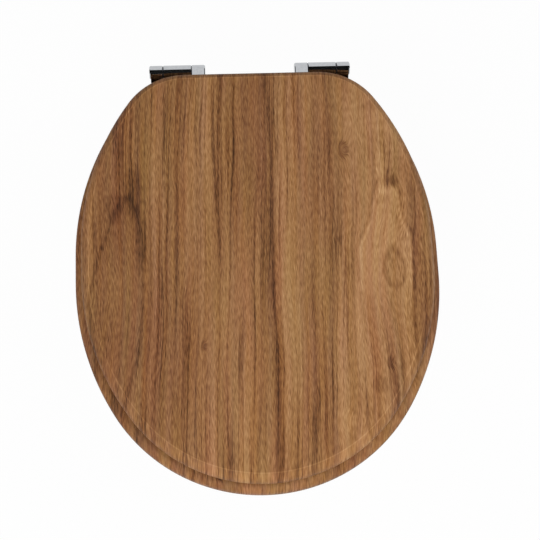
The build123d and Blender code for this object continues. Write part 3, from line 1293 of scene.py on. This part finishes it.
@dataclass
class FixingStuds:
    """Two plated studs with a plain waist, threaded above it for the hinge and below it for the nut.

    Attributes:
        node: Their CAD node.
        spacing: From stud to stud.
        pitch: Rise of the thread in one turn.
        crest: Radius over the thread.
        crest_flat: Width of the thread's crest, as a share of the pitch.
        root: Radius in the thread's groove.
        waist: Radius of the plain part.
        waist_top: Where the upper thread starts.
        waist_bottom: Where the lower thread starts.
        turn_steps: Facets round the stud.
    """

    node: str = "fixing_studs"
    spacing: float = 155 * MM
    pitch: float = 1.25 * MM
    crest: float = 4.0 * MM
    crest_flat: float = 0.1
    root: float = 3.35 * MM
    waist: float = 3.6 * MM
    waist_top: float = 1.5 * MM
    waist_bottom: float = -28 * MM
    turn_steps: int = 36

    def build(self, material: Material) -> None:
        """Model both studs in place of their CAD node.

        Args:
            material: Their finish.
        """
        low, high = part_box(self.node)
        shape = bmesh.new()
        self.thread(shape, self.waist_top, high.z)
        self.rod(shape, self.waist_bottom, self.waist_top)
        self.thread(shape, low.z, self.waist_bottom)
        stand_at(shape, [(self.spacing / 2, 0), (-self.spacing / 2, 0)])
        piece = new_piece("threaded_studs", shape, material, Body.HINGES)
        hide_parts(self.node)

    def thread(self, shape: Mesh, bottom: float, top: float) -> None:
        """Cut a closed length of thread on the Z axis.

        Args:
            shape: The mesh that it joins.
            bottom: Its lower end.
            top: Its upper end.
        """
        part = bmesh.new()
        foot = bottom - self.pitch
        turns = math.ceil((top - foot) / self.pitch) + 1
        lower = 0.5 - self.crest_flat / 2
        upper = 0.5 + self.crest_flat / 2
        steps = ((lower, self.crest), (upper, self.crest), (1, self.root))
        flank = [part.verts.new((self.root, 0, foot))]
        for turn in range(turns):
            for share, radius in steps:
                flank.append(part.verts.new((radius, 0, foot + (turn + share) * self.pitch)))
        edges = [part.edges.new(ends) for ends in zip(flank, flank[1:])]
        rise = self.pitch / self.turn_steps
        spin(part, flank + edges, (0, 0, 0), (0, 0, 1), 360, self.turn_steps, rise=rise)
        bmesh.ops.remove_doubles(part, verts=part.verts[:], dist=WELD)
        cut_off(part, bottom, -1, HAIR)
        cut_off(part, top, 1, HAIR)
        self.add(shape, part)

    def rod(self, shape: Mesh, bottom: float, top: float) -> None:
        """Turn the plain waist of the stud.

        Args:
            shape: The mesh that it joins.
            bottom: Its lower end.
            top: Its upper end.
        """
        part = bmesh.new()
        bmesh.ops.create_circle(part, cap_ends=True, segments=self.turn_steps, radius=self.waist)
        bmesh.ops.translate(part, verts=part.verts[:], vec=(0, 0, bottom))
        grow(part, part.faces[:], top - bottom, keep=True)
        self.add(shape, part)

    @staticmethod
    def add(shape: Mesh, part: Mesh) -> None:
        """Turn a part's faces outwards, shade it and add it to the whole.

        Args:
            shape: The whole.
            part: The part, which is freed.
        """
        bmesh.ops.recalc_face_normals(part, faces=part.faces[:])
        shade_softly(part)
        step = bpy.data.meshes.new("stud_step")
        part.to_mesh(step)
        part.free()
        shape.from_mesh(step)
        bpy.data.meshes.remove(step)


@dataclass
class BracketScrews:
    """Countersunk screws with a cross recess that hold the brackets under a board.

    Attributes:
        node: Their CAD node.
        body: The body that they belong to.
        columns: How far to the right and left of the middle they stand.
        rows: Where they stand along the seat.
        head: Radius of the head.
        head_height: Height of the countersink.
        shank: Radius of the shank.
        recess: Half of the cross's length.
        arm: Half of the width of its arms.
        depth: Depth of the cross.
        recess_taper: Size of the cross's floor against its mouth.
        point: Length of the blunt point.
        point_taper: Size of the point's end against the shank.
        turn_steps: Facets round the screw.
    """

    node: str
    body: Body
    columns: tuple[float, ...]
    rows: tuple[float, ...]
    head: float = 3.8 * MM
    head_height: float = 2.0 * MM
    shank: float = 2.0 * MM
    recess: float = 1.9 * MM
    arm: float = 0.55 * MM
    depth: float = 1.3 * MM
    recess_taper: float = 0.8
    point: float = 0.5 * MM
    point_taper: float = 0.6
    turn_steps: int = 32

    def build(self, material: Material) -> None:
        """Model the screws in place of their CAD node.

        Args:
            material: Their finish.
        """
        low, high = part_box(self.node)
        shape = bmesh.new()
        self.screw(shape, low.z, high.z)
        places = [(side * x, y) for x in self.columns for y in self.rows for side in (1, -1)]
        stand_at(shape, places)
        shade_softly(shape)
        piece = new_piece(self.node + "_crossed", shape, material, self.body)
        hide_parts(self.node)

    def screw(self, shape: Mesh, seat: float, tip: float) -> None:
        """Model one screw on the Z axis, its head below.

        Args:
            shape: The mesh to build it in.
            seat: Level of its head.
            tip: Level of its tip.
        """
        bmesh.ops.create_circle(shape, cap_ends=True, segments=self.turn_steps, radius=self.head)
        bmesh.ops.translate(shape, verts=shape.verts[:], vec=(0, 0, seat))
        neck = seat + self.head_height
        point = tip - self.point
        grow(shape, shape.faces[:], self.head_height, self.shank / self.head, keep=True)
        grow(shape, self.level_faces(shape, neck), point - neck)
        grow(shape, self.level_faces(shape, point), self.point, self.point_taper)
        bmesh.ops.recalc_face_normals(shape, faces=shape.faces[:])
        self.cut_cross(shape, seat)

    @staticmethod
    def level_faces(shape: Mesh, level: float) -> list[BMFace]:
        """Faces that lie flat at one height."""
        return [face for face in shape.faces if all(abs(v.co.z - level) < WELD for v in face.verts)]

    def cut_cross(self, shape: Mesh, seat: float) -> None:
        """Sink the cross into the head.

        Args:
            shape: The screw.
            seat: Level of its head.
        """
        for axis in (Vector((1, 0, 0)), Vector((0, 1, 0))):
            for offset in (-self.recess, -self.arm, self.arm, self.recess):
                flat = self.level_faces(shape, seat)
                edges = {edge for face in flat for edge in face.edges}
                corners = {vert for face in flat for vert in face.verts}
                geom = [*corners, *edges, *flat]
                bmesh.ops.bisect_plane(shape, geom=geom, dist=HAIR, plane_co=axis * offset, plane_no=axis)
        cross = []
        for face in self.level_faces(shape, seat):
            middle = face.calc_center_median()
            near, far = sorted((abs(middle.x), abs(middle.y)))
            if near < self.arm and far < self.recess:
                cross.append(face)
        grow(shape, cross, self.depth, self.recess_taper)


@dataclass
class SeamWashers:
    """Thin dark washers in the seams between each hinge's barrel and its two knuckles.

    Attributes:
        seam: Width of a seam.
        thickness: Thickness of a washer.
        radius: Its outer radius.
        bore: Radius of its hole.
        axis_height: Height of the hinge axis.
        turn_steps: Facets round it.
    """

    seam: float = 0.35 * MM
    thickness: float = 0.25 * MM
    radius: float = 6.6 * MM
    bore: float = 3.15 * MM
    axis_height: float = 28.75 * MM
    turn_steps: int = 48

    def build(self, material: Material) -> None:
        """Model the four washers.

        Args:
            material: Their finish.
        """
        shape = bmesh.new()
        for node in ("hinge_body_left", "hinge_body_right"):
            low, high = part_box(node)
            self.washer(shape, low.x - self.seam / 2)
            self.washer(shape, high.x + self.seam / 2)
        bmesh.ops.recalc_face_normals(shape, faces=shape.faces[:])
        new_piece("seam_washers", shape, material, Body.HINGES)

    def washer(self, shape: Mesh, middle: float) -> None:
        """Turn one washer on the hinge axis.

        Args:
            shape: The mesh that it joins.
            middle: Its place along the axis.
        """
        half = self.thickness / 2
        corners = ((-half, self.bore), (half, self.bore), (half, self.radius), (-half, self.radius))
        section = [shape.verts.new((middle + x, 0, self.axis_height + reach)) for x, reach in corners]
        edges = [shape.edges.new(ends) for ends in zip(section, section[1:] + section[:1])]
        centre = (middle, 0, self.axis_height)
        spin(shape, section + edges, centre, (1, 0, 0), 360, self.turn_steps, merge=True)


@dataclass(frozen=True)
class PhotoCamera:
    """Camera that sees the seat as the photograph does.

    Attributes:
        elevation: Degrees above the horizon.
        azimuth: Degrees round from straight in front.
        roll: Degrees that the picture is turned.
        distance: From the target.
        focal_px: Focal length, in pixels of the picture.
        picture_px: Width and height of the picture.
        target: A point in the middle of the seat.
        target_px: Where the picture shows that point.
        sensor: Width of the sensor, in millimetres.
    """

    elevation: float = 72.73
    azimuth: float = -8.08
    roll: float = 6.0
    distance: float = 1.459
    focal_px: float = 1418.6
    picture_px: float = 540.0
    target: Place = (0.0, -0.230, 0.025)
    target_px: Point = (258.39, 276.0)
    sensor: float = 36.0

    def build(self) -> None:
        """Put the camera in the scene."""
        rise = math.radians(self.elevation)
        turn = math.radians(self.azimuth)
        level_back = math.cos(rise)
        back = Vector((math.sin(turn) * level_back, -math.cos(turn) * level_back, math.sin(rise)))
        level = Vector((math.cos(turn), math.sin(turn), 0))
        right = Matrix.Rotation(math.radians(self.roll), 3, back) @ level
        up = back.cross(right)
        place = Vector(self.target) + back * self.distance
        step = self.distance / self.focal_px
        middle = self.picture_px / 2
        aim = Vector(self.target) + right * (middle - self.target_px[0]) * step
        aim += up * (self.target_px[1] - middle) * step
        away = (place - aim).normalized()
        side = up.cross(away).normalized()
        data = bpy.data.cameras.new("photo_camera")
        data.sensor_width = self.sensor
        data.lens = self.sensor * self.focal_px / self.picture_px
        camera = bpy.data.objects.new("photo_camera", data)
        turned = Matrix((side, away.cross(side), away)).transposed()
        camera.matrix_world = Matrix.Translation(place) @ turned.to_4x4()
        bpy.context.scene.collection.objects.link(camera)
        bpy.context.scene.camera = camera


def stage_sheet(name: str, half: float, place: Matrix, material: Material) -> bpy.types.Object:
    """Put a square sheet in the studio, which isn't part of the seat.

    Args:
        name: Its name.
        half: Half of its width.
        place: Where it lies and how it is turned.
        material: Its finish.

    Returns:
        The new object.
    """
    shape = bmesh.new()
    bmesh.ops.create_grid(shape, x_segments=1, y_segments=1, size=half)
    bmesh.ops.transform(shape, verts=shape.verts[:], matrix=place)
    sheet = new_object(name, shape, material)
    return sheet


@dataclass(frozen=True)
class Lamp:
    """Soft lamp of the studio.

    Attributes:
        name: Its name.
        place: Where it hangs.
        size: Its width and height.
        power: Its power in watts.
        mirrored: Whether polished metal shows it.
    """

    name: str
    place: Place
    size: float
    power: float
    mirrored: bool = False

    def build(self, target: Vector) -> None:
        """Hang the lamp and turn it to a target.

        Args:
            target: The point that it faces.
        """
        data = bpy.data.lights.new(self.name, "AREA")
        data.size = self.size
        data.energy = self.power
        lamp = bpy.data.objects.new(self.name, data)
        lamp.location = self.place
        lamp.visible_glossy = self.mirrored
        lamp.rotation_mode = "QUATERNION"
        lamp.rotation_quaternion = (target - lamp.location).to_track_quat("-Z", "Y")
        bpy.context.scene.collection.objects.link(lamp)


@dataclass(frozen=True)
class DarkCard:
    """Dark card that only reflections show.

    Attributes:
        name: Its name.
        middle: Its middle.
        facing: The way that it faces.
        half: Half of its width.
        colour: Its colour.
    """

    name: str
    middle: Place
    facing: Place
    half: float
    colour: Colour = (0.01, 0.01, 0.01, 1.0)

    def build(self) -> None:
        """Hang the card."""
        finish = Shader(self.name)
        finish.set("Base Color", self.colour)
        finish.set("Roughness", 1.0)
        turn = Vector(self.facing).to_track_quat("Z", "Y").to_matrix().to_4x4()
        place = Matrix.Translation(self.middle) @ turn
        card = stage_sheet(self.name, self.half, place, finish.material)
        card.visible_camera = False
        card.visible_diffuse = False
        card.visible_shadow = False


@dataclass
class Studio:
    """White floor, soft lamps and the dark cards that polished metal needs.

    Attributes:
        floor_gap: From the lowest point of the seat to the floor.
        floor_half: Half of the floor's width.
        floor_colour: Colour of the floor under the lamps.
        floor_glow: Share of plain white in what the camera sees of the floor.
        sky: Strength of the light that comes from all round.
    """

    floor_gap: float = 45 * MM
    floor_half: float = 6.0
    floor_colour: Colour = (0.6, 0.6, 0.6, 1.0)
    floor_glow: float = 0.97
    sky: float = 0.17

    LAMPS = (
        Lamp("key_lamp", (-0.8, -1.5, 2.0), size=0.9, power=25.0, mirrored=True),
        Lamp("front_lamp", (-0.5, -2.1, 1.1), size=1.0, power=29.5),
        Lamp("fill_lamp", (1.0, -0.5, 1.8), size=1.4, power=12.8),
        Lamp("left_lamp", (-1.9, -0.3, 0.8), size=1.0, power=7.0),
        Lamp("right_lamp", (1.9, -0.3, 0.8), size=1.0, power=9.0),
        Lamp("rear_lamp", (0.8, 2.1, 1.2), size=1.2, power=5.0),
    )
    CARDS = (
        DarkCard("dark_card_above", (0, -0.9, 2.4), facing=(0, 0, -1), half=1.8),
        DarkCard("dark_card_front", (0, -2.7, 0.9), facing=(0, 1, 0), half=1.8),
        DarkCard("dark_card_left", (-1.8, -0.4, 1.5), facing=(1, 0, 0), half=1.7),
        DarkCard("dark_card_right", (1.8, -0.4, 1.5), facing=(-1, 0, 0), half=1.7),
    )

    def build(self) -> None:
        """Set up floor, cards, lamps and sky."""
        low, high = CAD_BOX
        place = Matrix.Translation((0, 0, low.z - self.floor_gap))
        stage_sheet("studio_floor", self.floor_half, place, self.floor_material())
        for card in self.CARDS:
            card.build()
        for lamp in self.LAMPS:
            lamp.build((low + high) / 2)
        self.build_sky()

    def floor_material(self) -> Material:
        """White that the camera sees as the picture's white, with the shadow kept.

        Returns:
            The floor's material.
        """
        material = bpy.data.materials.new("studio_white")
        tree = Tree(material)
        paper = tree.add("BsdfDiffuse", {"Color": self.floor_colour}).outputs[0]
        glow = tree.add("Emission", {"Strength": 1.0}).outputs[0]
        share = tree.math("MULTIPLY", tree.seen(), self.floor_glow)
        mix = tree.add("MixShader", {0: share, 1: paper, 2: glow})
        tree.add("OutputMaterial", {"Surface": mix.outputs[0]})
        return material

    def build_sky(self) -> None:
        """White all round for the camera and for reflections, and a softer light for the rest."""
        world = bpy.data.worlds.new("studio_sky")
        tree = Tree(world)
        strength = tree.add("MapRange", {"Value": tree.seen(), "To Min": self.sky, "To Max": 1.0})
        white = {"Color": (1, 1, 1, 1), "Strength": strength.outputs[0]}
        tree.add("OutputWorld", {"Surface": tree.add("Background", white).outputs[0]})
        bpy.context.scene.world = world


def dress_nodes(finishes: Finishes) -> None:
    """Give every CAD node that stays the finish of its slot.

    Args:
        finishes: The materials.
    """
    for row in frame["record"]["subparts"]:
        node = frame["nodes"][row["node"]]
        node.data.materials.clear()
        node.data.materials.append(finishes.by_slot[Slot(row["material_slot"])])
        LOG.info("%s: dressed as %s", row["node"], row["material_slot"])


def main() -> None:
    """Build the seat's looks and the studio round it."""
    logging.basicConfig(level=logging.INFO)
    bpy.context.scene.view_settings.view_transform = "Standard"
    finishes = Finishes()
    dress_nodes(finishes)
    lid = Board("lid", Body.LID, belly=227.5 * MM, nose_turn=36.5, top_round=11.9 * MM, planing=0.6 * MM)
    lid.build(finishes.by_slot[Slot.WOOD])
    ring = RingBoard("seat_ring", Body.RING, belly=231.6 * MM, nose_turn=31.2, top_round=7.5 * MM)
    ring.build(finishes.ring_wood)
    steel = finishes.by_slot[Slot.STEEL]
    FixingStuds().build(steel)
    lid_screws = BracketScrews(
        "lid_bracket_screws", Body.LID, columns=(43.8 * MM, 65.8 * MM), rows=(-29.3 * MM,)
    )
    lid_screws.build(steel)
    ring_screws = BracketScrews(
        "ring_bracket_screws", Body.RING, columns=(94 * MM,), rows=(-22.6 * MM, -40.6 * MM)
    )
    ring_screws.build(steel)
    SeamWashers().build(finishes.by_slot[Slot.DAMPER])
    PhotoCamera().build()
    Studio().build()


if __name__ == "__main__":
    main()
